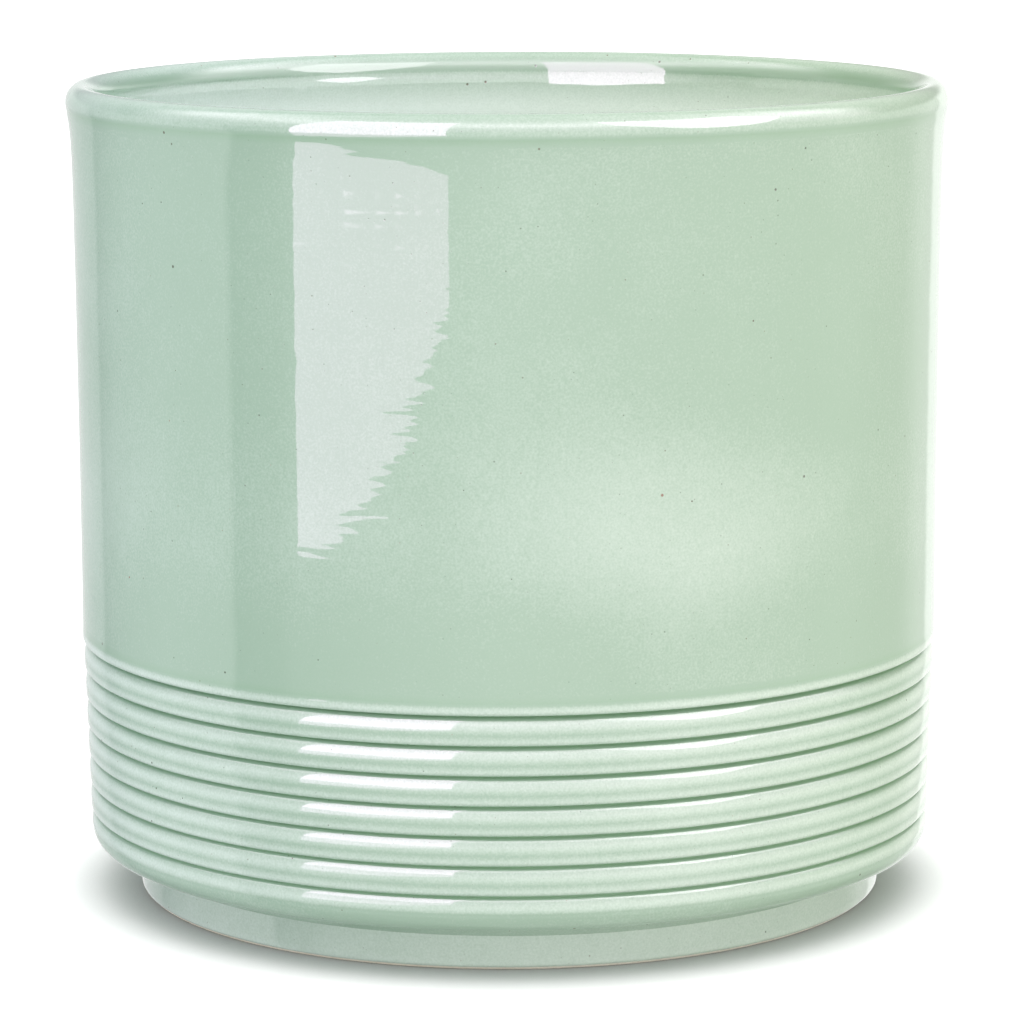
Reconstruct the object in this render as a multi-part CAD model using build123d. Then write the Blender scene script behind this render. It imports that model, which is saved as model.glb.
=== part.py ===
from build123d import *
import os

# A wheel-turned stoneware pot in three pieces: the fired clay body, and the
# two coats of celadon glaze that cover it outside and inside. All three are
# turned about the Z axis. Millimetres, +Z up, and the origin is on the axis
# in the plane that the foot stands on.

# Driving dimensions of the glazed pot
height = 150.0
lip_radius = 81.0           # widest point of the rolled lip
lip_height = 146.2          # where the lip is widest
crest_radius = 78.3         # highest line of the lip
bore_radius = 75.4          # inside wall, just under the lip
bore_height = 145.0         # where the lip has rolled over into the bore
neck_radius = 80.85         # narrow line under the lip, where glaze pools
neck_height = 145.1
waist_radius = 79.5         # slimmest part of the wall
waist_height = 62.0
floor_radius = 74.2         # inside wall where it turns into the floor
floor_height = 12.0         # glazed floor of the pot
floor_cove = 10.0           # round corner between wall and floor

# Turned grooves above the foot, and the ribs that they leave
groove_count = 7
groove_pitch = 5.3
groove_bottom = 15.0        # height of the lowest groove
groove_depth = 0.9
groove_round = 0.35         # half height of a groove's rounded bottom
rib_face = 1.7              # upright lower part of each rib
rib_radius = 78.55          # belly side of the lowest groove
rib_growth = 0.15           # each rib stands this much wider than the last
band_height = 2.3           # raised band on top of the highest groove
band_proud = 0.34

# Belly under the grooves, and the foot
belly_radius = 78.4
belly_height = 12.3
belly_under = 9.0           # underside of the belly
belly_round = 2.6           # how far its lower corner rounds inwards
foot_radius = 69.3
foot_fillet = 1.0           # hollow corner between foot and belly
foot_edge = 0.5             # rounded lower edges of the foot ring
ring_width = 7.5            # what the pot stands on
recess_height = 4.0         # hollow of the underside
recess_fillet = 2.0

# Glaze
coat = 0.5                  # thickness of the glaze on the walls
lip_coat = 0.35             # thinner where it runs off the lip
groove_extra = 0.35         # thicker where it pools in a groove
glaze_line = 0.5            # the glaze is wiped off below this height
seam_height = 133.0         # the two coats meet here, down inside the bore


def rib_crest(step):
    return rib_radius + rib_growth * step


def shift(radius, coated):
    # Radius of the glazed surface, or of the clay beneath it.
    return radius if coated else radius - coat


def quarter(center, across, up, start):
    # A quarter of an ellipse, anticlockwise from the start angle.
    return EllipticalCenterArc(center, across, up, start, arc_size=90)


def foot_outline(coated):
    # From the glaze line up to the belly's widest point.
    foot = shift(foot_radius, coated)
    belly = shift(belly_radius, coated)
    under = belly_under if coated else belly_under + coat
    corner = Line((foot, glaze_line), (foot, under - foot_fillet))
    hollow = TangentArc(corner @ 1, (foot + foot_fillet, under), tangent=(0, 1))
    shelf = Line(hollow @ 1, (belly - belly_round, under))
    side = quarter((belly - belly_round, belly_height), belly_round, belly_height - under, 270)
    return [corner, hollow, shelf, side]


def groove_outline(step, start, coated):
    # One groove, from the surface below it to the top of the upright face.
    deep = groove_depth + (0 if coated else groove_extra)
    middle = groove_bottom + groove_pitch * step
    face = shift(rib_crest(step + 1), coated)
    root = face - deep
    shoulder = TangentArc(start, (root, middle - groove_round), tangent=(0, 1))
    bottom = Line(shoulder @ 1, (root, middle))
    rise = Line(bottom @ 1, (face, middle + groove_round + deep / 2))
    upright = Line(rise @ 1, (face, middle + rib_face))
    return [shoulder, bottom, rise, upright]


def wall_outline(start, coated):
    # The raised band over the highest groove, then the gently flared wall.
    top = groove_bottom + groove_pitch * (groove_count - 1) + band_height
    waist = shift(waist_radius, coated)
    band = Line(start, (start.X, top))
    step_in = Line(band @ 1, (start.X - band_proud, top + band_proud))
    lower = Line(step_in @ 1, (waist, waist_height))
    flare = TangentArc(lower @ 1, (shift(neck_radius, coated), neck_height), tangent=(0, 1))
    return [band, step_in, lower, flare]


def lip_outline(coated):
    # The rolled lip, over its crest and into the bore.
    thin = 0 if coated else lip_coat
    neck = (shift(neck_radius, coated), neck_height)
    widest = (lip_radius - thin, lip_height)
    swell = Line(neck, widest)
    across = lip_radius - thin - crest_radius
    outside = quarter((crest_radius, lip_height), across, height - thin - lip_height, 0)
    across = crest_radius - bore_radius - thin
    inside = quarter((crest_radius, bore_height), across, height - thin - bore_height, 90)
    return [swell, outside, inside]


def bore_radius_at(level, coated):
    # The bore tapers evenly from the lip to the floor corner.
    low = floor_height + floor_cove
    part = (level - low) / (bore_height - low)
    glazed = floor_radius + (bore_radius - floor_radius) * part
    return glazed if coated else glazed + lip_coat


def upper_bore_outline(coated):
    start = (bore_radius_at(bore_height, coated), bore_height)
    return [Line(start, (bore_radius_at(seam_height, coated), seam_height))]


def lower_bore_outline(coated):
    # From the seam of the two coats down to the middle of the floor.
    thin = 0 if coated else lip_coat
    low = floor_height + floor_cove
    corner_radius = bore_radius_at(low, coated)
    wall = Line((bore_radius_at(seam_height, coated), seam_height), (corner_radius, low))
    cove = CenterArc((corner_radius - floor_cove - thin, low), floor_cove + thin, 270, 90)
    floor = Line(cove @ 0, (0, floor_height - thin))
    return [wall, cove, floor]


def outer_outline(coated):
    path = foot_outline(coated)
    for step in range(groove_count):
        path += groove_outline(step, path[-1] @ 1, coated)
    path += wall_outline(path[-1] @ 1, coated)
    return path + lip_outline(coated) + upper_bore_outline(coated)


def turned(path):
    # A solid of revolution from a closed outline in the XZ plane.
    return revolve(Plane.XZ * make_face(path), Axis.Z)


def stoneware_body():
    outer = foot_radius - coat
    inner = outer - ring_width
    ceiling = recess_height
    base = [
        Line((0, floor_height - lip_coat), (0, ceiling)),
        Line((0, ceiling), (inner - recess_fillet, ceiling)),
        TangentArc((inner - recess_fillet, ceiling), (inner, ceiling - recess_fillet), tangent=(1, 0)),
        Line((inner, ceiling - recess_fillet), (inner, foot_edge)),
        TangentArc((inner, foot_edge), (inner + foot_edge, 0), tangent=(0, -1)),
        Line((inner + foot_edge, 0), (outer - foot_edge, 0)),
        TangentArc((outer - foot_edge, 0), (outer, foot_edge), tangent=(1, 0)),
    ]
    return turned(base + outer_outline(False) + lower_bore_outline(False))


def outer_glaze():
    glazed = outer_outline(True)
    clay = outer_outline(False)
    foot_end = Line(clay[0] @ 0, glazed[0] @ 0)
    seam_end = Line(clay[-1] @ 1, glazed[-1] @ 1)
    return turned(glazed + clay + [foot_end, seam_end])


def inner_glaze():
    glazed = lower_bore_outline(True)
    clay = lower_bore_outline(False)
    seam_end = Line(clay[0] @ 0, glazed[0] @ 0)
    axis_end = Line(clay[-1] @ 1, glazed[-1] @ 1)
    return turned(glazed + clay + [seam_end, axis_end])


os.makedirs("parts", exist_ok=True)
export_step(stoneware_body(), "parts/stoneware_body.step")
export_step(outer_glaze(), "parts/outer_glaze.step")
export_step(inner_glaze(), "parts/inner_glaze.step")
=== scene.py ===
import math

import bpy
from mathutils import Matrix, Vector


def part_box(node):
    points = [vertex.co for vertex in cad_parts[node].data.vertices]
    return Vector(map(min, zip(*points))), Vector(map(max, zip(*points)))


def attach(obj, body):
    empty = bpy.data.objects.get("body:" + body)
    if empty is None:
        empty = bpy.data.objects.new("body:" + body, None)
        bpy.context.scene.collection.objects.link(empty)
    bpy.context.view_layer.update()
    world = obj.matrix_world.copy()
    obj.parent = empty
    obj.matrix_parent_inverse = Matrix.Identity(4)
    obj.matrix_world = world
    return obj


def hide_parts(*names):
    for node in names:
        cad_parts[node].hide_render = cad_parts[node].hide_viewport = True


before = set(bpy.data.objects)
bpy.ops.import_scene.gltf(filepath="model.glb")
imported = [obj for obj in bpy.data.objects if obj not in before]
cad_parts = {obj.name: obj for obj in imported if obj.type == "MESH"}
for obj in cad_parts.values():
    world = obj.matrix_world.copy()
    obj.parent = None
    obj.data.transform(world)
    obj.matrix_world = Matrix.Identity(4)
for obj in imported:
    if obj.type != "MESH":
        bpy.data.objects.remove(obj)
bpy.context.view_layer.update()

# Everything is in metres, the frame's own unit.
mm = 0.001


def makeActive(piece):
    bpy.ops.object.select_all(action="DESELECT")
    piece.select_set(True)
    bpy.context.view_layer.objects.active = piece


def straight(start, end, steps):
    # points after the start, up to and including the end
    return [tuple(a + (b - a) * k / steps for a, b in zip(start, end)) for k in range(1, steps + 1)]


def arc(center, across, up, startAngle, endAngle, steps):
    # part of an ellipse, without its first point
    angles = [math.radians(startAngle + (endAngle - startAngle) * k / steps) for k in range(1, steps + 1)]
    return [(center[0] + across * math.cos(t), center[1] + up * math.sin(t)) for t in angles]


def hump(z, middle, spread):
    # 1 at the middle height, fading away from it on both sides
    return math.exp(-((z - middle) / spread) ** 2)


def pooled(points, amount):
    # points of a section with one depth of glaze, 1 pooled and -1 thin; in places the pale end also
    # carries painted light
    return [(r, z, amount) for r, z in points]


# Camera, a little above the lip and an arm's length away; its angles are in degrees

camera = {
    "away": 0.8299,
    "height": 0.2098,
    "down": 9.607,
    "turn": 0.048,
    "roll": -0.188,
    "lens": 158.4,
    "sensor": 36,
}


def addCamera():
    bpy.ops.object.camera_add(location=(0, -camera["away"], camera["height"]))
    view = bpy.context.object
    view.name = "tableCamera"
    view.data.lens = camera["lens"]
    view.data.sensor_width = camera["sensor"]
    aim = Matrix.Rotation(math.radians(-camera["turn"]), 4, "Z")
    aim @= Matrix.Rotation(math.radians(90 - camera["down"]), 4, "X")
    aim @= Matrix.Rotation(math.radians(camera["roll"]), 4, "Z")
    view.matrix_world = Matrix.Translation(view.location) @ aim
    bpy.context.scene.camera = view
    print("camera placed")


# The glazed section, measured from the frame

glazeLow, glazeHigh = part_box("outer_glaze")
clayLow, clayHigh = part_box("stoneware_body")
linerLow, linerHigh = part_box("inner_glaze")

height = glazeHigh.z - 0.07 * mm
lip = min(glazeHigh.x, glazeHigh.y, -glazeLow.x, -glazeLow.y) - 0.03 * mm
seam = linerHigh.z

wall = {
    "waist": lip - 1.45 * mm,
    "waistHeight": 62 * mm,
    "flare": 0.58 * mm,
    "neckSwell": 0.85 * mm,     # quick extra flare just under the lip
    "neckReach": 3.4 * mm,
    "neckHeight": height - 4.4 * mm,
    "neckCrease": 0.12 * mm,    # the line along the neck
    "neckCreaseSpread": 0.5 * mm,
    "neckPool": 0.5,
    "bandHeight": 49.6 * mm,    # raised band on top of the grooves
    "bandProud": 0.06 * mm,
    "bandSlope": 1.2 * mm,
}
rim = {
    "widest": height - 3.3 * mm,
    "crest": lip - 2.7 * mm,
    "boreTop": height - 3.7 * mm,
    "bore": lip - 5.7 * mm,
    "boreFlare": 0.3 * mm,      # the bore opens a little just under the lip
    "boreReach": 2.0 * mm,
    "boreCrease": 0.05 * mm,
    "boreCreaseDown": 0.7 * mm,
    "boreCreaseSpread": 0.5 * mm,
    "thin": 0.12,               # glaze drawn thin over the lip
    "linePool": 0.45,           # and gathered in a line inside it
    "lineAbove": 1.2 * mm,
    "lineSpread": 0.9 * mm,
    "boreDepthAndPaintedLight": -0.2,           # paler and paler down the bore: painted light standing in for the light inside it
    "borePaintedLight": 0.75,
    "boreFade": 7 * mm,
}
grooves = {
    "count": 7,
    "pitch": 5.3 * mm,
    "lowest": 15.3 * mm,
    "lowestRadius": lip - 2.5 * mm,
    "growth": 0.15 * mm,        # each rib stands this much wider
    "depth": 0.36 * mm,
    "above": 0.28 * mm,         # half width of the groove, upper and lower side
    "below": 0.33 * mm,
    "shoulderDrop": 0.66 * mm,  # the ribs round over more towards the top
    "dropGrowth": 0.075 * mm,
    "shoulder": 3.05 * mm,
    "thinAbove": {"amount": 0.34, "away": 1.0 * mm, "spread": 0.8 * mm},
    # under each groove: thin glaze on the shoulder, and partly a painted highlight
    "thinAndHighlightBelow": {"amount": 0.38, "away": -1.8 * mm, "spread": 1.0 * mm},
    "crowding": 0.65,           # rows crowd towards the grooves
}
foot = {
    "radius": lip - 11.7 * mm,
    "under": 9.0 * mm,
    "fillet": 1.0 * mm,
    "belly": lip - 2.6 * mm,
    "bellyHeight": 12.3 * mm,
    "bellyRound": 2.6 * mm,
    "bellyGap": 0.2 * mm,
    "glazeLine": glazeLow.z,
    "roll": 0.5 * mm,
    # the foot side is paler: thin glaze, and partly painted light lifting it out of the shade under the
    # belly
    "poolAndPaintedLight": {"line": -0.7, "roll": -0.4, "side": -0.3, "fillet": 0.5, "under": 0.2, "belly": 0.0},
}
well = {
    "corner": lip - 6.8 * mm,
    "cove": 10 * mm,
    "floor": linerLow.z + 0.35 * mm,
    "wallPoolAndPaintedLight": -0.15,          # just above the cove, paler from there up to the seam: painted light inside the pot
    "innerWallPaintedLight": 0.85,
    "covePool": 0.5,
    "floorPool": 0.3,
}
footRing = {
    "bottom": clayLow.z,
    "width": 7.5 * mm,
    "edge": 0.5 * mm,
    "recess": 4.0 * mm,
    "fillet": 2.0 * mm,
    "crown": 0.6 * mm,          # the recess rises this much more to its middle
}
coat = {
    "outside": 0.4 * mm,        # thickness of each coat
    "inside": 0.35 * mm,
    "foot": 0.5 * mm,
    "clayOutside": 0.45 * mm,   # and how far under the glaze the clay starts
    "clayInside": 0.4 * mm,
    "every": 8,                 # every so many rows of the glaze are followed on its hidden side
    "clayEvery": 4,
}
lathe = {"turns": 300, "merge": 0.002 * mm, "smoothBelow": 40}
rowCounts = {
    # rows along each stretch of the outside, of the inside and of the bare clay
    "glazeRoll": 4, "footSide": 6, "footFillet": 5, "under": 4, "belly": 12, "rib": 18, "wall": 78,
    "neck": 6, "lip": 14, "bore": 16,
    "innerWall": 60, "cove": 14, "floor": 22,
    "recess": 20, "ringFillet": 8, "ringSide": 3, "ringEdge": 5, "ringBottom": 8,
}


def wallRadius(z):
    # the turned wall without its grooves
    if z > grooves["lowest"] + grooves["pitch"] * (grooves["count"] - 1):
        rise = max(0, z - wall["waistHeight"]) / (wall["neckHeight"] - wall["waistHeight"])
        neck = wall["neckSwell"] * math.exp((z - wall["neckHeight"]) / wall["neckReach"])
        step = min(1, max(0, (wall["bandHeight"] - z) / wall["bandSlope"]))
        band = wall["bandProud"] * step * step * (3 - 2 * step)
        crease = wall["neckCrease"] * hump(z, wall["neckHeight"], wall["neckCreaseSpread"])
        return wall["waist"] + wall["flare"] * rise ** 2 + neck + band - crease
    ribs = (z - grooves["lowest"]) / grooves["pitch"]
    radius = grooves["lowestRadius"] + grooves["growth"] * (ribs + 0.5)
    return min(radius, wall["waist"] + wall["bandProud"])


def grooveDip(z):
    # how far the surface falls in, and how thick the glaze lies: 1 pooled, -1 thin; the pale under each
    # groove is partly thin glaze and partly a painted highlight
    dip, poolAndPaintedLight = 0.0, 0.0
    thinAbove, thinAndHighlightBelow = grooves["thinAbove"], grooves["thinAndHighlightBelow"]
    for k in range(grooves["count"]):
        away = z - grooves["lowest"] - grooves["pitch"] * k
        drop = grooves["shoulderDrop"] + grooves["dropGrowth"] * k
        if 0 <= away < grooves["pitch"] - grooves["shoulder"]:
            fall = hump(away, 0, grooves["above"])
            dip += (grooves["depth"] + drop) * fall
            poolAndPaintedLight += fall - thinAbove["amount"] * hump(away, thinAbove["away"], thinAbove["spread"])
        elif -grooves["shoulder"] < away < 0:
            fall = hump(away, 0, grooves["below"])
            dip += grooves["depth"] * fall + drop * (1 + away / grooves["shoulder"]) ** 2
            # pale on the shoulder: partly thin glaze, partly a painted highlight
            poolAndPaintedLight += fall - thinAndHighlightBelow["amount"] * hump(away, thinAndHighlightBelow["away"], thinAndHighlightBelow["spread"])
    return dip, poolAndPaintedLight


# paler in a wide zone of the wall and just under the band's top, darker in a line along its top, partly
# pooled glaze and partly painted shade, and pooled along the neck
wallToneZones = [
    {"amount": -0.1, "height": 77 * mm, "spread": 13 * mm},
    {"amount": -0.12, "height": wall["bandHeight"] - 1.0 * mm, "spread": 0.6 * mm},
    {"amount": 0.4, "height": wall["bandHeight"] + 0.2 * mm, "spread": 0.5 * mm},
    {"amount": wall["neckPool"], "height": wall["neckHeight"], "spread": 0.7 * mm},
]


def wallPoolAndPaintedLight(z):
    return sum(zone["amount"] * hump(z, zone["height"], zone["spread"]) for zone in wallToneZones)


def wallHeights():
    heights = []
    pitch, count = grooves["pitch"], rowCounts["rib"]
    for rib in range(-1, grooves["count"]):
        low = grooves["lowest"] + pitch * rib
        for k in range(count):
            part = k / count
            z = low + pitch * (part - grooves["crowding"] * math.sin(2 * math.pi * part) / (2 * math.pi))
            if foot["bellyHeight"] + foot["bellyGap"] < z < wall["bandHeight"]:
                heights.append(z)
    start, count = wall["bandHeight"], rowCounts["wall"]
    heights += [start + (wall["neckHeight"] - start) * k / count for k in range(count + 1)]
    return heights


def footRows():
    # (radius, height, pooling with painted light) from the glaze line, under the overhang and round the
    # belly
    line, poolAndPaintedLight = foot["glazeLine"], foot["poolAndPaintedLight"]
    start = (foot["radius"] - coat["foot"], line)
    roll = arc((start[0], line + foot["roll"]), coat["foot"], foot["roll"], -90, 0, rowCounts["glazeRoll"])
    filletLow = foot["under"] - foot["fillet"]
    side = straight(roll[-1], (foot["radius"], filletLow), rowCounts["footSide"])
    filletMiddle = (foot["radius"] + foot["fillet"], filletLow)
    fillet = arc(filletMiddle, foot["fillet"], foot["fillet"], 180, 90, rowCounts["footFillet"])
    shelf = foot["belly"] - foot["bellyRound"]
    under = straight(fillet[-1], (shelf, foot["under"]), rowCounts["under"])
    lift = foot["bellyHeight"] - foot["under"]
    belly = arc((shelf, foot["bellyHeight"]), foot["bellyRound"], lift, -90, 0, rowCounts["belly"])
    rows = [(*start, poolAndPaintedLight["line"])]
    parts = {"roll": roll, "side": side, "fillet": fillet, "under": under, "belly": belly}
    for part, points in parts.items():
        rows += pooled(points, poolAndPaintedLight[part])
    return rows


def lipRows(neckRadius):
    # from the neck over the lip to the top of the bore
    rows = []
    swell = rim["widest"] - wall["neckHeight"]
    for k in range(1, rowCounts["neck"] + 1):
        part = k / rowCounts["neck"]
        z = wall["neckHeight"] + swell * part
        poolAndPaintedLight = wall["neckPool"] * (1 - part) ** 2 - rim["thin"] * part
        rows.append((lip - (lip - neckRadius) * (1 - part) ** 2, z, poolAndPaintedLight))
    outerMiddle, innerMiddle = (rim["crest"], rim["widest"]), (rim["crest"], rim["boreTop"])
    outerHalf = arc(outerMiddle, lip - rim["crest"], height - rim["widest"], 0, 90, rowCounts["lip"])
    inward, rise = rim["crest"] - rim["bore"], height - rim["boreTop"]
    innerHalf = arc(innerMiddle, inward, rise, 90, 180, rowCounts["lip"])
    rows += pooled(outerHalf, -rim["thin"])
    lineHeight = rim["boreTop"] + rim["lineAbove"]
    for r, z in innerHalf:
        rows.append((r, z, rim["linePool"] * hump(z, lineHeight, rim["lineSpread"]) - rim["thin"]))
    return rows


def outsideRows():
    # (radius, height, pooling with painted light) from the glaze line to the seam inside the bore
    rows = footRows()
    for z in wallHeights():
        dip, poolAndPaintedLight = grooveDip(z)
        rows.append((wallRadius(z) - dip, z, poolAndPaintedLight + wallPoolAndPaintedLight(z)))
    rows += lipRows(rows[-1][0])
    top, count = rim["boreTop"], rowCounts["bore"]
    heights = [top + (seam - top) * (k / count) ** 1.5 for k in range(1, count + 1)]
    rows += [(boreRadius(z), z, boreDepthAndPaintedLight(z)) for z in heights]
    return rows


def boreRadius(z):
    low = well["floor"] + well["cove"]
    flare = rim["boreFlare"] * (math.exp((z - rim["boreTop"]) / rim["boreReach"]) - 1)
    flare += rim["boreCrease"] * hump(z, rim["boreTop"] - rim["boreCreaseDown"], rim["boreCreaseSpread"])
    return well["corner"] + (rim["bore"] - well["corner"]) * (z - low) / (rim["boreTop"] - low) + flare


def boreDepthAndPaintedLight(z):
    # pooled just under the lip, paler below it: painted light standing in for the light inside the bore
    return rim["boreDepthAndPaintedLight"] - rim["borePaintedLight"] * min(1, (rim["boreTop"] - z) / rim["boreFade"])


def insideRows():
    # (radius, height, pooling with painted light) from the seam down to the middle of the floor
    low = well["floor"] + well["cove"]
    rows = [(boreRadius(seam), seam, boreDepthAndPaintedLight(seam))]
    for r, z in straight(rows[0][:2], (boreRadius(low), low), rowCounts["innerWall"]):
        # paler up towards the seam: painted light inside the pot
        rows.append((r, z, well["wallPoolAndPaintedLight"] - well["innerWallPaintedLight"] * (z - low) / (seam - low)))
    cove = arc((well["corner"] - well["cove"], low), well["cove"], well["cove"], 0, -90, rowCounts["cove"])
    rows += pooled(cove, well["covePool"])
    rows += pooled(straight(cove[-1], (0, well["floor"]), rowCounts["floor"]), well["floorPool"])
    return rows


def hiddenSide(rows, thickness, every):
    # the far side of a coat, where it meets the clay
    back = []
    last = len(rows) - 1
    for k in range(last, -1, -1):
        grooveFloor = 0 < k < last and rows[k][0] < min(rows[k - 1][0], rows[k + 1][0])
        if k % every and k != last and not grooveFloor:
            continue
        before, after = rows[max(k - 1, 0)], rows[min(k + 1, last)]
        run = Vector((after[0] - before[0], after[1] - before[1])).normalized()
        back.append((rows[k][0] - run.y * thickness, rows[k][1] + run.x * thickness, 0.0))
    return back


def turnPiece(name, shown, hidden):
    # a ring of points shaped to the section, then spun round the axis
    section = shown + hidden
    bpy.ops.object.select_all(action="DESELECT")
    bpy.ops.mesh.primitive_circle_add(vertices=len(section), radius=lip, location=(0, 0, 0))
    piece = bpy.context.object
    piece.name = name
    skin = piece.vertex_groups.new(name="skin")
    skin.add(range(len(shown)), 1.0, "REPLACE")
    skin.add(range(len(shown), len(section)), 0.0, "REPLACE")
    piece.data.attributes.new("poolingAndPaintedLight", "FLOAT", "POINT")
    for vertex, (r, z, poolAndPaintedLight) in zip(piece.data.vertices, section):
        vertex.co = (max(r, 0), 0, z)
    for value, (r, z, poolAndPaintedLight) in zip(piece.data.attributes["poolingAndPaintedLight"].data, section):
        value.value = poolAndPaintedLight
    bpy.ops.object.mode_set(mode="EDIT")
    bpy.ops.mesh.select_all(action="SELECT")
    bpy.ops.mesh.spin(steps=lathe["turns"], angle=2 * math.pi, center=(0, 0, 0), axis=(0, 0, 1))
    bpy.ops.mesh.select_all(action="SELECT")
    bpy.ops.mesh.remove_doubles(threshold=lathe["merge"])
    bpy.ops.mesh.delete_loose()
    bpy.ops.mesh.select_all(action="SELECT")
    bpy.ops.mesh.normals_make_consistent(inside=False)
    bpy.ops.object.mode_set(mode="OBJECT")
    bpy.ops.object.shade_smooth_by_angle(angle=math.radians(lathe["smoothBelow"]))
    print(name, "turned,", len(piece.data.polygons), "faces")
    return piece


def underRows():
    # bare clay under the pot, from the axis out to the glaze line
    bottom, edge, recess, fillet = (footRing[key] for key in ("bottom", "edge", "recess", "fillet"))
    outerSide = foot["radius"] - coat["foot"]
    innerSide = outerSide - footRing["width"]
    points = [(0, recess + footRing["crown"])]
    points += straight(points[-1], (innerSide - fillet, recess), rowCounts["recess"])
    points += arc((innerSide - fillet, recess - fillet), fillet, fillet, 90, 0, rowCounts["ringFillet"])
    points += straight(points[-1], (innerSide, bottom + edge), rowCounts["ringSide"])
    points += arc((innerSide + edge, bottom + edge), edge, edge, 180, 270, rowCounts["ringEdge"])
    points += straight(points[-1], (outerSide - edge, bottom), rowCounts["ringBottom"])
    points += arc((outerSide - edge, bottom + edge), edge, edge, -90, 0, rowCounts["ringEdge"])
    return pooled(points, 0.0)


def rippleGlaze(piece, ripple):
    # the fired coat is never quite even
    texture = bpy.data.textures.new("glazeRipple", type="CLOUDS")
    texture.noise_basis = "IMPROVED_PERLIN"
    texture.noise_scale = ripple["wave"]
    texture.noise_depth = 0
    bpy.ops.object.empty_add(location=ripple["origin"])
    guide = bpy.context.object
    guide.scale = (1, 1, 1 / ripple["squeeze"])
    makeActive(piece)
    push = piece.modifiers.new("ripple", "DISPLACE")
    push.texture = texture
    push.texture_coords = "OBJECT"
    push.texture_coords_object = guide
    push.direction = "NORMAL"
    push.mid_level = 0.5
    push.strength = ripple["lift"]
    push.vertex_group = "skin"
    bpy.ops.object.modifier_apply(modifier="ripple")
    bpy.data.objects.remove(guide)


addCamera()

outsideShown, insideShown = outsideRows(), insideRows()
outsideHidden = hiddenSide(outsideShown, coat["outside"], coat["every"])
insideHidden = hiddenSide(insideShown, coat["inside"], coat["every"])
outsideGlaze = turnPiece("outsideGlaze", outsideShown, outsideHidden)
insideGlaze = turnPiece("insideGlaze", insideShown, insideHidden)

# the clay follows the glaze up the outside, over the lip and down to the floor
clayRows = underRows()
clayRows += reversed(hiddenSide(outsideShown, coat["clayOutside"], coat["clayEvery"]))
clayRows += reversed(hiddenSide(insideShown, coat["clayInside"], coat["clayEvery"]))
clayBody = turnPiece("clayBody", clayRows, [])

# a slow swell of the whole coat, and small uneven places
ripples = [
    {"wave": 0.060, "squeeze": 1.0, "lift": 0.16 * mm, "origin": (0.3, 0.1, 0.2)},
    {"wave": 0.009, "squeeze": 1.6, "lift": 0.030 * mm, "origin": (0.1, 0.7, 0.4)},
]
for piece in (outsideGlaze, insideGlaze):
    for ripple in ripples:
        rippleGlaze(piece, ripple)
print("glaze rippled")


def node(tree, kind, x, y, **settings):
    made = tree.nodes.new(kind)
    made.location = (x, y)
    for key, value in settings.items():
        setattr(made, key, value)
    return made


def feed(tree, socket, value):
    # a socket takes a plain value or another socket
    if isinstance(value, (int, float, tuple)):
        socket.default_value = value
    else:
        tree.links.new(value, socket)


def mathNode(tree, x, y, operation, *values, clamp=False):
    made = node(tree, "ShaderNodeMath", x, y, operation=operation, use_clamp=clamp)
    for socket, value in zip(made.inputs, values):
        feed(tree, socket, value)
    return made.outputs[0]


def vectorMath(tree, x, y, operation, *values):
    made = node(tree, "ShaderNodeVectorMath", x, y, operation=operation)
    for socket, value in zip(made.inputs, values):
        feed(tree, socket, value)
    return made.outputs["Value" if operation == "LENGTH" else "Vector"]


def noiseNode(tree, x, y, place, scale, detail):
    made = node(tree, "ShaderNodeTexNoise", x, y)
    made.inputs["Scale"].default_value = scale
    made.inputs["Detail"].default_value = detail
    tree.links.new(place, made.inputs["Vector"])
    return made.outputs["Fac"]


def blendColor(tree, x, y, kind, amount, first, second):
    made = node(tree, "ShaderNodeMix", x, y, data_type="RGBA", blend_type=kind)
    for name, value in (("Factor_Float", amount), ("A_Color", first), ("B_Color", second)):
        feed(tree, next(i for i in made.inputs if i.identifier == name), value)
    return next(o for o in made.outputs if o.identifier == "Result_Color")


def fadeBy(tree, x, y, value, fade):
    # 1 up to the start of the fade, its low value from the end on
    made = node(tree, "ShaderNodeMapRange", x, y, interpolation_type="SMOOTHSTEP")
    made.inputs["From Min"].default_value = fade["start"]
    made.inputs["From Max"].default_value = fade["end"]
    made.inputs["To Min"].default_value = 1.0
    made.inputs["To Max"].default_value = fade["low"]
    tree.links.new(value, made.inputs["Value"])
    return made.outputs[0]


def fillRamp(ramp, stops):
    # stops of place and grey level or colour
    for place, _ in stops[1:-1]:
        ramp.color_ramp.elements.new(place)
    for stop, (place, tone) in zip(ramp.color_ramp.elements, stops):
        stop.position = place
        stop.color = (*tone, 1) if isinstance(tone, tuple) else (tone, tone, tone, 1)


def newGroup(name, inputs, outputs):
    group = bpy.data.node_groups.new(name, "ShaderNodeTree")
    for label, kind, value in inputs:
        socket = group.interface.new_socket(label, in_out="INPUT", socket_type=kind)
        if value is not None:
            socket.default_value = value
    for label, kind in outputs:
        group.interface.new_socket(label, in_out="OUTPUT", socket_type=kind)
    return group, node(group, "NodeGroupInput", -1000, 0), node(group, "NodeGroupOutput", 900, 0)


def placeGroup(tree, group, x, y, values):
    made = node(tree, "ShaderNodeGroup", x, y, node_tree=group)
    for label, value in values.items():
        feed(tree, made.inputs[label], value)
    return made


# Iron specks burnt through the glaze, in three sizes

specks = {
    "layers": [
        {"scale": 200.0, "size": 0.040, "share": 0.55, "strength": 1.0},
        {"scale": 420.0, "size": 0.052, "share": 0.60, "strength": 0.6},
        {"scale": 700.0, "size": 0.070, "share": 0.50, "strength": 0.35},
    ],
    "smallest": 0.6,            # as a share of the size
    "edge": 1.1,
    "core": 0.55,
    "colors": [
        (0, (0.10, 0.085, 0.06)),
        (0.5, (0.055, 0.075, 0.045)),
        (0.93, (0.16, 0.10, 0.05)),
        (1, (0.3, 0.08, 0.05)),
    ],
}


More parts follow.
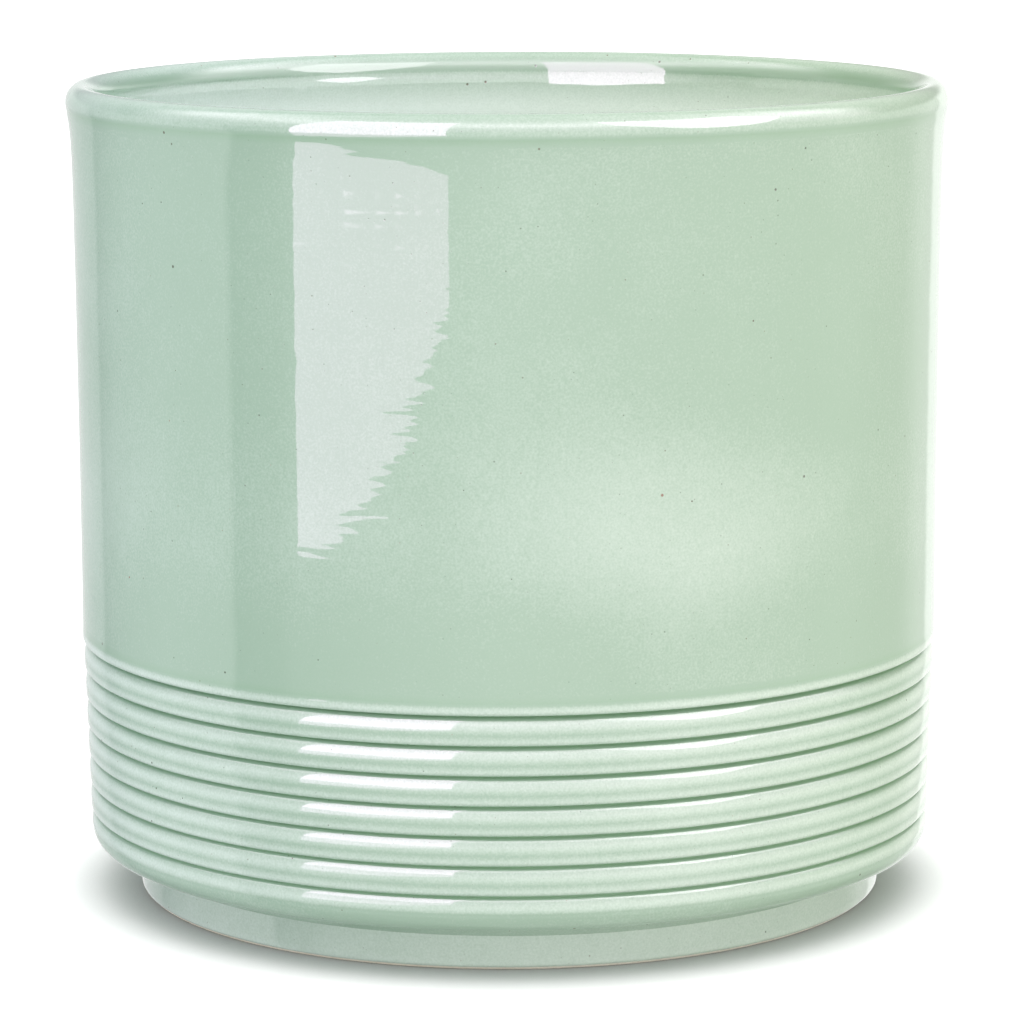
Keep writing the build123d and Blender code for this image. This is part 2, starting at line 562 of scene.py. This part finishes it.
def specksGroup():
    group, given, out = newGroup(
        "ironSpecks",
        [("Place", "NodeSocketVector", None), ("Amount", "NodeSocketFloat", 1.0)],
        [("Mask", "NodeSocketFloat"), ("Tint", "NodeSocketFloat")],
    )
    masks = []
    for row, layer in enumerate(specks["layers"]):
        y = -300 * row
        cells = node(group, "ShaderNodeTexVoronoi", -800, y, feature="F1")
        cells.inputs["Scale"].default_value = layer["scale"]
        group.links.new(given.outputs["Place"], cells.inputs["Vector"])
        lot = node(group, "ShaderNodeSeparateColor", -600, y - 120)
        group.links.new(cells.outputs["Color"], lot.inputs[0])
        picked = mathNode(group, -400, y - 120, "LESS_THAN", lot.outputs[0], layer["share"])
        smallest = layer["size"] * specks["smallest"]
        reach = mathNode(group, -400, y, "MULTIPLY_ADD", lot.outputs[1], layer["size"], smallest)
        inside = mathNode(group, -200, y, "DIVIDE", cells.outputs["Distance"], reach)
        soft = node(group, "ShaderNodeMapRange", 0, y, interpolation_type="SMOOTHSTEP")
        soft.inputs["From Min"].default_value = specks["edge"]
        soft.inputs["From Max"].default_value = specks["core"]
        group.links.new(inside, soft.inputs["Value"])
        shown = mathNode(group, 200, y, "MULTIPLY", soft.outputs[0], picked)
        masks.append(mathNode(group, 350, y, "MULTIPLY", shown, layer["strength"]))
        if row == 0:
            group.links.new(lot.outputs[2], out.inputs["Tint"])
    both = mathNode(group, 500, 0, "MAXIMUM", masks[0], masks[1])
    every = mathNode(group, 600, 0, "MAXIMUM", both, masks[2])
    mask = mathNode(group, 750, 0, "MULTIPLY", every, given.outputs["Amount"])
    group.links.new(mask, out.inputs["Mask"])
    return group


# Fine mottling of the fired surface, near 0 on average

grainLayers = [
    {"scale": 2600.0, "detail": 2.0, "gain": 1.0, "by": "Fine"},
    {"scale": 520.0, "detail": 2.0, "gain": 0.2, "by": "Fine"},
    {"scale": 75.0, "detail": 2.0, "gain": 0.45, "by": "Cloudy"},
    {"scale": 17.0, "detail": 1.0, "gain": 1.3, "by": "Cloudy"},
]


def grainGroup():
    group, given, out = newGroup(
        "firedGrain",
        [
            ("Place", "NodeSocketVector", None),
            ("Fine", "NodeSocketFloat", 1.0),
            ("Cloudy", "NodeSocketFloat", 1.0),
        ],
        [("Value", "NodeSocketFloat")],
    )
    sums = []
    for row, layer in enumerate(grainLayers):
        y = -250 * row
        noise = noiseNode(group, -700, y, given.outputs["Place"], layer["scale"], layer["detail"])
        centred = mathNode(group, -500, y, "SUBTRACT", noise, 0.5)
        gained = mathNode(group, -300, y, "MULTIPLY", centred, layer["gain"])
        sums.append(mathNode(group, -100, y, "MULTIPLY", gained, given.outputs[layer["by"]]))
    fine = mathNode(group, 100, 0, "ADD", sums[0], sums[1])
    cloudy = mathNode(group, 100, -400, "ADD", sums[2], sums[3])
    group.links.new(mathNode(group, 300, -100, "ADD", fine, cloudy), out.inputs["Value"])
    return group


# Glaze colour from how thick it lies and from painted light carried on the same scale, cooler on one side
# of the kiln than on the other

glaze = {
    "stops": [
        (0, (0.86, 0.93, 0.91)),            # drawn thin over an edge; also the pale of the painted light in the bore, on the foot and under the grooves
        (0.5, (0.350, 0.483, 0.386)),       # on a plain wall
        (0.85, (0.30, 0.45, 0.325)),
        (1, (0.275, 0.435, 0.295)),         # pooled in a groove
    ],
    "coolSide": (0.985, 1.0, 1.045),
    "warmSide": (1.0, 0.99, 0.865),
}


def depthAndPaintedLightGroup():
    group, given, out = newGroup(
        "glazeDepthAndPaintedLight",
        [("Place", "NodeSocketVector", None), ("Thickness", "NodeSocketFloat", 0.0)],
        [("Color", "NodeSocketColor")],
    )
    scaled = mathNode(group, -800, 0, "MULTIPLY_ADD", given.outputs["Thickness"], 0.5, 0.5)
    ramp = node(group, "ShaderNodeValToRGB", -600, 0)
    fillRamp(ramp, glaze["stops"])
    group.links.new(scaled, ramp.inputs["Fac"])
    split = node(group, "ShaderNodeSeparateXYZ", -800, -300)
    group.links.new(given.outputs["Place"], split.inputs[0])
    side = node(group, "ShaderNodeMapRange", -600, -300)
    side.inputs["From Min"].default_value = -lip
    side.inputs["From Max"].default_value = lip
    group.links.new(split.outputs["X"], side.inputs["Value"])
    cool, warm = (*glaze["coolSide"], 1), (*glaze["warmSide"], 1)
    kiln = blendColor(group, -300, -300, "MIX", side.outputs[0], cool, warm)
    color = blendColor(group, 0, 0, "MULTIPLY", 1.0, ramp.outputs["Color"], kiln)
    group.links.new(color, out.inputs["Color"])
    return group


ironSpecks, firedGrain, glazeDepthAndPaintedLight = specksGroup(), grainGroup(), depthAndPaintedLightGroup()


def newMaterial(name):
    material = bpy.data.materials.new(name)
    material.use_nodes = True
    tree = material.node_tree
    shader = tree.nodes["Principled BSDF"]
    shader.location = (700, 0)
    tree.nodes["Material Output"].location = (1000, 0)
    return material, tree, shader


def addBump(tree, shader, height):
    # the height is in metres
    bump = node(tree, "ShaderNodeBump", 300, -600)
    bump.inputs["Strength"].default_value = 1.0
    bump.inputs["Distance"].default_value = 1.0
    tree.links.new(height, bump.inputs["Height"])
    tree.links.new(bump.outputs[0], shader.inputs["Normal"])


def palerPatch(tree, place, poolAndPaintedLight, patch):
    # paler over one soft oval patch
    aside = vectorMath(tree, -1300, 600, "SUBTRACT", place, patch["middle"])
    flat = vectorMath(tree, -1150, 600, "MULTIPLY", aside, (1, 1, patch["squeeze"]))
    away = vectorMath(tree, -1000, 600, "LENGTH", flat)
    pale = fadeBy(tree, -850, 600, away, {"start": patch["core"], "end": patch["reach"], "low": 0.0})
    return mathNode(tree, -700, 600, "MULTIPLY_ADD", pale, -patch["amount"], poolAndPaintedLight)


def waveRelief(tree, place, waves):
    # slow waves from the wheel and a faint orange peel
    total = 0.0
    for row, wave in enumerate(waves):
        y = -900 - 300 * row
        stretch = node(tree, "ShaderNodeMapping", -1000, y)
        stretch.inputs["Scale"].default_value = (1, 1, wave["squeeze"])
        tree.links.new(place, stretch.inputs["Vector"])
        noise = noiseNode(tree, -800, y, stretch.outputs[0], wave["scale"], wave["detail"])
        total = mathNode(tree, -500, y, "MULTIPLY_ADD", noise, wave["height"], total)
    return total


def celadonMaterial(name, finish):
    material, tree, shader = newMaterial(name)
    shader.inputs["IOR"].default_value = finish["ior"]
    place = node(tree, "ShaderNodeTexCoord", -1500, 0).outputs["Object"]
    shift = node(tree, "ShaderNodeMapping", -1300, 0)
    shift.inputs["Location"].default_value = finish["shift"]
    tree.links.new(place, shift.inputs["Vector"])
    moved = shift.outputs[0]

    grain = {"Place": moved, "Fine": finish["fine"], "Cloudy": finish["cloudy"]}
    mottle = placeGroup(tree, firedGrain, -1000, 0, grain)
    # glaze depth, with painted light in the bore, on the foot side and under each groove
    poolAndPaintedLight = node(tree, "ShaderNodeAttribute", -1300, 300, attribute_name="poolingAndPaintedLight").outputs["Fac"]
    patched = palerPatch(tree, place, poolAndPaintedLight, finish["patch"])
    thickness = mathNode(tree, -500, 400, "ADD", patched, mottle.outputs[0])
    tinted = placeGroup(tree, glazeDepthAndPaintedLight, -600, 200, {"Place": place, "Thickness": thickness})
    dots = placeGroup(tree, ironSpecks, -1000, -300, {"Place": moved, "Amount": finish["specks"]})
    mask = dots.outputs["Mask"]
    ramp = node(tree, "ShaderNodeValToRGB", -600, -300)
    fillRamp(ramp, specks["colors"])
    tree.links.new(dots.outputs["Tint"], ramp.inputs["Fac"])
    color = blendColor(tree, -200, 100, "MIX", mask, tinted.outputs[0], ramp.outputs["Color"])
    tree.links.new(color, shader.inputs["Base Color"])

    haze = noiseNode(tree, -600, -600, moved, finish["hazeScale"], finish["hazeDetail"])
    rough = mathNode(tree, -300, -600, "MULTIPLY_ADD", haze, finish["haze"], finish["roughness"])
    dull = mathNode(tree, -100, -600, "MULTIPLY_ADD", mask, finish["speckDullness"], rough)
    tree.links.new(dull, shader.inputs["Roughness"])

    relief = waveRelief(tree, moved, finish["waves"])
    addBump(tree, shader, mathNode(tree, -100, -1000, "MULTIPLY_ADD", mask, -finish["speckPit"], relief))
    return material


def clayMaterial(name, finish):
    material, tree, shader = newMaterial(name)
    place = node(tree, "ShaderNodeTexCoord", -1300, 0).outputs["Object"]
    grain = {"Place": place, "Fine": finish["fine"], "Cloudy": finish["cloudy"]}
    mottle = placeGroup(tree, firedGrain, -1000, 0, grain).outputs[0]
    dots = placeGroup(tree, ironSpecks, -1000, -300, {"Place": place, "Amount": finish["specks"]})
    tone = mathNode(tree, -700, 0, "ADD", mottle, finish["paleShare"], clamp=True)
    body = blendColor(tree, -400, 0, "MIX", tone, (*finish["color"], 1), (*finish["pale"], 1))
    color = blendColor(tree, -100, 0, "MIX", dots.outputs["Mask"], body, (*finish["speckColor"], 1))
    tree.links.new(color, shader.inputs["Base Color"])
    shader.inputs["Roughness"].default_value = finish["roughness"]

    # rings left from turning the foot, and grit
    flat = vectorMath(tree, -1000, -600, "MULTIPLY", place, (1, 1, 0))
    reach = vectorMath(tree, -800, -600, "LENGTH", flat)
    angle = mathNode(tree, -700, -600, "MULTIPLY", reach, finish["ringTurns"])
    ring = mathNode(tree, -600, -600, "SINE", angle)
    grit = mathNode(tree, -400, -800, "MULTIPLY", mottle, finish["gritHeight"])
    addBump(tree, shader, mathNode(tree, -400, -600, "MULTIPLY_ADD", ring, finish["ringHeight"], grit))
    return material


outsideFinish = {
    "ior": 1.5,
    "shift": (0.31, 0.12, 0.05),
    "fine": 0.42,
    "cloudy": 0.27,
    "specks": 0.85,
    "speckDullness": 0.2,
    "speckPit": 0.00003,
    "roughness": 0.01,
    "haze": 0.03,
    "hazeScale": 240.0,
    "hazeDetail": 2.0,
    "patch": {
        "middle": (0.032, -0.073, 0.081),
        "core": 0.009,
        "reach": 0.045,
        "squeeze": 1.8,
        "amount": 0.11,
    },
    "waves": [
        {"scale": 70.0, "detail": 1.0, "squeeze": 6.0, "height": 0.00004},
        {"scale": 480.0, "detail": 1.0, "squeeze": 1.0, "height": 0.0000035},
    ],
}
insideFinish = dict(outsideFinish, shift=(0.77, 0.41, 0.23), specks=1.0)
clayFinish = {
    "color": (0.74, 0.70, 0.58),
    "pale": (0.84, 0.80, 0.71),
    "paleShare": 0.4,
    "fine": 0.9,
    "cloudy": 0.6,
    "specks": 0.9,
    "speckColor": (0.16, 0.09, 0.05),
    "roughness": 0.82,
    "ringTurns": 2600.0,
    "ringHeight": 0.00004,
    "gritHeight": 0.0002,
}
outsideGlaze.data.materials.append(celadonMaterial("celadonOutside", outsideFinish))
insideGlaze.data.materials.append(celadonMaterial("celadonInside", insideFinish))
clayBody.data.materials.append(clayMaterial("bareStoneware", clayFinish))
print("materials made")

for piece, cadNode, slot in (
    (outsideGlaze, "outer_glaze", "celadon_outside"),
    (insideGlaze, "inner_glaze", "celadon_inside"),
    (clayBody, "stoneware_body", "bare_stoneware"),
):
    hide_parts(cadNode)
    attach(piece, "root")


# Floor, pale where it is seen and a little darker for the light it throws back; where it is seen it
# carries a painted contact shadow next to the pot

floorLook = {"size": 40.0, "bounce": 0.75, "seen": 1.1, "paintedContactShadow": 0.014, "paintedShadowPower": 0.52}


def addFloor():
    bpy.ops.object.select_all(action="DESELECT")
    bpy.ops.mesh.primitive_plane_add(size=floorLook["size"], location=(0, 0, 0))
    floor = bpy.context.object
    floor.name = "floor"
    material = bpy.data.materials.new("paleFloor")
    material.use_nodes = True
    tree = material.node_tree
    tree.nodes.clear()
    out = node(tree, "ShaderNodeOutputMaterial", 400, 0)
    mix = node(tree, "ShaderNodeMixShader", 200, 0)
    path = node(tree, "ShaderNodeLightPath", 0, 200)
    bounce = node(tree, "ShaderNodeBsdfDiffuse", 0, 0)
    seen = node(tree, "ShaderNodeBsdfDiffuse", 0, -150)
    bounce.inputs["Color"].default_value = (floorLook["bounce"],) * 3 + (1,)
    # painted contact shadow: the floor the camera sees is darkened by ambient occlusion near the pot
    paintedContactShadow = node(tree, "ShaderNodeAmbientOcclusion", -600, -150)
    paintedContactShadow.inputs["Distance"].default_value = floorLook["paintedContactShadow"]
    paintedShadowTone = mathNode(tree, -400, -150, "POWER", paintedContactShadow.outputs["AO"], floorLook["paintedShadowPower"])
    tree.links.new(mathNode(tree, -200, -150, "MULTIPLY", paintedShadowTone, floorLook["seen"]), seen.inputs["Color"])
    tree.links.new(path.outputs["Is Camera Ray"], mix.inputs["Fac"])
    tree.links.new(bounce.outputs[0], mix.inputs[1])
    tree.links.new(seen.outputs[0], mix.inputs[2])
    tree.links.new(mix.outputs[0], out.inputs["Surface"])
    floor.data.materials.append(material)
    floor.visible_glossy = False
    print("floor laid")


# Studio: a soft dome for the light, and what the gloss sees of the room. The soft stops go by
# height, where 0.5 is the horizon. The wash goes by turn from the back, where 0.5 is the front,
# and high, again by height, takes over from it above the wash.

dome = {
    "soft": [(0, 1.0), (0.5, 1.0), (0.75, 1.05), (0.93, 1.85), (1, 1.85)],
    "softTop": 2.0,
    "wash": [
        (0, 0.95), (0.055, 0.85), (0.114, 0.65), (0.119, 0.3), (0.14, 0.5), (0.214, 1.4),
        (0.284, 1.7), (0.287, 0.4), (0.325, 0.8), (0.34, 1.4), (0.4, 2.2), (0.45, 2.7), (0.5, 3.2),
        (0.67, 3.2), (0.77, 2.5), (0.82, 1.6), (0.85, 1.3), (0.885, 1.4), (0.915, 1.2), (0.92, 1.7),
        (0.96, 1.25), (1, 0.95),
    ],
    "washTop": 8.0,
    "high": [
        (0, 3.4), (0.3, 4.3), (0.45, 6.2), (0.56, 8.8), (0.68, 8.8), (0.8, 6.0), (0.9, 3.5), (1, 2.0),
    ],
    "highTop": 9.0,
    "highTint": (1.0, 0.88, 1.0),
    "backFade": {"start": 0.1, "end": 0.5, "low": 0.11},        # of the high part, behind the pot
    "leftFade": {"start": -0.55, "end": -0.95, "low": 0.45},
    "riseFade": {"start": 0.08, "end": 0.2, "low": 0.0},        # from the wash to the high part
    "sinkFade": {"start": -0.3, "end": -0.6, "low": 0.45},      # of the wash, towards the floor
}


def rampOf(tree, x, y, stops, value, top):
    # a ramp holds 0 to 1, so its tones are divided and then multiplied back
    ramp = node(tree, "ShaderNodeValToRGB", x, y)
    fillRamp(ramp, [(place, tone / top) for place, tone in stops])
    tree.links.new(value, ramp.inputs["Fac"])
    return mathNode(tree, x + 300, y, "MULTIPLY", ramp.outputs["Color"], top)


def glossOfRoom(tree, x, y, z):
    behind = mathNode(tree, -1400, 0, "MULTIPLY", y, -1.0)
    turn = mathNode(tree, -1300, 0, "ARCTAN2", x, behind)
    share = mathNode(tree, -1150, 0, "MULTIPLY_ADD", turn, 0.5 / math.pi, 0.5)
    wash = rampOf(tree, -1000, 0, dome["wash"], share, dome["washTop"])
    high = rampOf(tree, -1000, -300, dome["high"], z, dome["highTop"])
    back = fadeBy(tree, -1000, -600, y, dome["backFade"])
    left = fadeBy(tree, -1000, -900, x, dome["leftFade"])
    rise = fadeBy(tree, -1000, -1200, z, dome["riseFade"])
    sink = fadeBy(tree, -1000, -1500, z, dome["sinkFade"])
    lowPart = mathNode(tree, -300, 0, "MULTIPLY", mathNode(tree, -500, 0, "MULTIPLY", wash, rise), sink)
    sides = mathNode(tree, -700, -600, "MULTIPLY", back, left)
    faded = mathNode(tree, -500, -300, "MULTIPLY", high, sides)
    above = mathNode(tree, -500, -600, "SUBTRACT", 1.0, rise)
    highPart = mathNode(tree, -300, -300, "MULTIPLY", faded, above)
    highTinted = blendColor(tree, -200, -400, "MULTIPLY", 1.0, highPart, (*dome["highTint"], 1))
    return blendColor(tree, -50, -100, "ADD", 1.0, lowPart, highTinted)


def addDome():
    world = bpy.data.worlds.new("softDome")
    bpy.context.scene.world = world
    world.use_nodes = True
    tree = world.node_tree
    tree.nodes.clear()
    split = node(tree, "ShaderNodeSeparateXYZ", -1500, 0)
    tree.links.new(node(tree, "ShaderNodeTexCoord", -1700, 0).outputs["Generated"], split.inputs[0])
    x, y, z = (split.outputs[axis] for axis in "XYZ")
    half = mathNode(tree, -1300, 300, "MULTIPLY_ADD", z, 0.5, 0.5)
    soft = rampOf(tree, -1000, 300, dome["soft"], half, dome["softTop"])
    softLight = node(tree, "ShaderNodeBackground", 200, 200)
    glossLight = node(tree, "ShaderNodeBackground", 200, -100)
    tree.links.new(soft, softLight.inputs["Color"])
    tree.links.new(glossOfRoom(tree, x, y, z), glossLight.inputs["Color"])
    mix = node(tree, "ShaderNodeMixShader", 400, 0)
    tree.links.new(node(tree, "ShaderNodeLightPath", 200, 500).outputs["Is Glossy Ray"], mix.inputs["Fac"])
    tree.links.new(softLight.outputs[0], mix.inputs[1])
    tree.links.new(glossLight.outputs[0], mix.inputs[2])
    tree.links.new(mix.outputs[0], node(tree, "ShaderNodeOutputWorld", 600, 0).inputs["Surface"])
    print("dome lit")


# Two softboxes in front, seen only in the gloss. They reach from one turn to another, in degrees
# from the front towards the right, and low gives the height of the bottom edge at its left and
# right, and how far both its ends lift.

softboxRows = {"across": 24, "up": 60}
leftSoftbox = {
    "name": "leftSoftbox",
    "from": -51.4,
    "to": -13.4,
    "away": 0.425,
    "low": {"left": 0.010, "right": 0.068, "lift": 0},
    "high": 0.6,
    "glow": (6.6, 13.0),        # below and above the step
    "step": 0.095,
    "tint": (1.0, 0.78, 1.0),
}
rightSoftbox = {
    "name": "rightSoftbox",
    "from": 27,
    "to": 76,
    "away": 0.6,
    "low": {"left": 0.21, "right": 0.21, "lift": 0.27},
    "high": 0.85,
    "glow": (13.0, 13.0),
    "step": 0,
    "tint": (1.0, 0.9, 1.0),
}


def lowEdge(box, across):
    low = box["low"]
    return low["left"] + (low["right"] - low["left"]) * across ** 2 + low["lift"] * (2 * across - 1) ** 2


def addSoftbox(box):
    bpy.ops.object.select_all(action="DESELECT")
    divisions = {"x_subdivisions": softboxRows["across"], "y_subdivisions": softboxRows["up"]}
    bpy.ops.mesh.primitive_grid_add(size=2, **divisions)
    sheet = bpy.context.object
    sheet.name = box["name"]
    sheet.data.attributes.new("glow", "FLOAT", "POINT")
    glows = sheet.data.attributes["glow"].data
    for vertex, value in zip(sheet.data.vertices, glows):
        across, up = (vertex.co.x + 1) / 2, (vertex.co.y + 1) / 2
        turn = math.radians(box["from"] + (box["to"] - box["from"]) * across)
        low = lowEdge(box, across)
        z = low + (box["high"] - low) * up
        vertex.co = (box["away"] * math.sin(turn), -box["away"] * math.cos(turn), z)
        value.value = box["glow"][0] if vertex.co.z < box["step"] else box["glow"][1]
    material = bpy.data.materials.new(box["name"])
    material.use_nodes = True
    tree = material.node_tree
    tree.nodes.clear()
    glow = node(tree, "ShaderNodeEmission", 0, 0)
    strength = node(tree, "ShaderNodeAttribute", -300, 0, attribute_name="glow")
    tree.links.new(strength.outputs["Fac"], glow.inputs["Strength"])
    glow.inputs["Color"].default_value = (*box["tint"], 1)
    tree.links.new(glow.outputs[0], node(tree, "ShaderNodeOutputMaterial", 200, 0).inputs["Surface"])
    material.cycles.emission_sampling = "NONE"
    sheet.data.materials.append(material)
    for way in ("camera", "diffuse", "shadow", "transmission"):
        setattr(sheet, "visible_" + way, False)
    print(box["name"], "hung")


addFloor()
addDome()
addSoftbox(leftSoftbox)
addSoftbox(rightSoftbox)
bpy.context.scene.view_settings.view_transform = "Standard"
